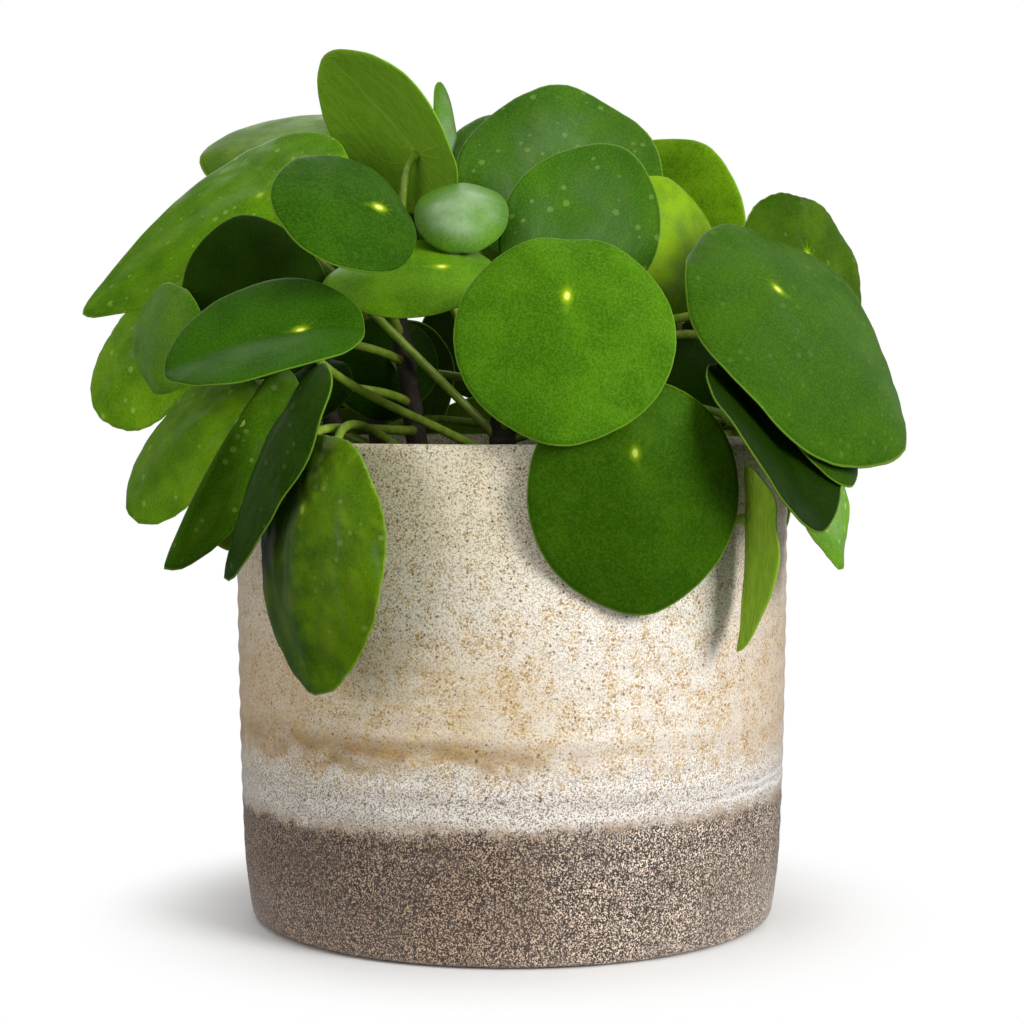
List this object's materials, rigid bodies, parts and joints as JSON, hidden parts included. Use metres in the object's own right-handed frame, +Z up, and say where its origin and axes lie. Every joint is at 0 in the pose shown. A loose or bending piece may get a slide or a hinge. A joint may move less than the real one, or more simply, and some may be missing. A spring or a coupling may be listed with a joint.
{
  "type": "potted plant",
  "caption": "Round-leaved plant whose long-stalked leaves spread from woody stems in a filled, speckled stoneware cylinder pot; stands on a floor, shelf or table.",
  "frame": {"origin": "middle of the pot's flat underside", "axes": "+Z up, -Y towards the viewer of the picture, +X to that viewer's right"},
  "size_m": [0.2334, 0.215, 0.2482],
  "materials": {
    "glaze": "speckled satin glaze",
    "compost": "crumbly and matte",
    "bark": "dry bark with leaf scars",
    "leaf": "smooth, with a soft waxy gloss"
  },
  "bodies": {
    "root": {"pot": "glaze", "soil": "compost", "stem_main": "bark", "stem_left": "bark", "stem_outer_left": "bark", "stem_right": "bark", "stem_outer_right": "bark", "stem_back": "bark", "stem_left_back": "bark", "leaf_01": "leaf", "leaf_02": "leaf", "leaf_03": "leaf", "leaf_04": "leaf", "leaf_05": "leaf", "leaf_06": "leaf", "leaf_07": "leaf", "leaf_08": "leaf", "leaf_09": "leaf", "leaf_10": "leaf", "leaf_11": "leaf", "leaf_12": "leaf", "leaf_13": "leaf", "leaf_14": "leaf", "leaf_15": "leaf", "leaf_16": "leaf", "leaf_17": "leaf", "leaf_18": "leaf", "leaf_19": "leaf", "leaf_20": "leaf", "leaf_21": "leaf", "leaf_22": "leaf", "leaf_23": "leaf", "leaf_24": "leaf", "leaf_25": "leaf", "leaf_26": "leaf", "leaf_27": "leaf", "leaf_28": "leaf", "leaf_29": "leaf", "leaf_30": "leaf", "leaf_31": "leaf", "leaf_32": "leaf", "leaf_33": "leaf", "leaf_34": "leaf", "leaf_35": "leaf", "leaf_36": "leaf", "leaf_37": "leaf", "leaf_38": "leaf", "leaf_39": "leaf", "leaf_40": "leaf", "leaf_41": "leaf", "leaf_42": "leaf", "leaf_43": "leaf", "leaf_44": "leaf", "leaf_45": "leaf", "leaf_46": "leaf", "leaf_47": "leaf"}
  },
  "joints": []
}
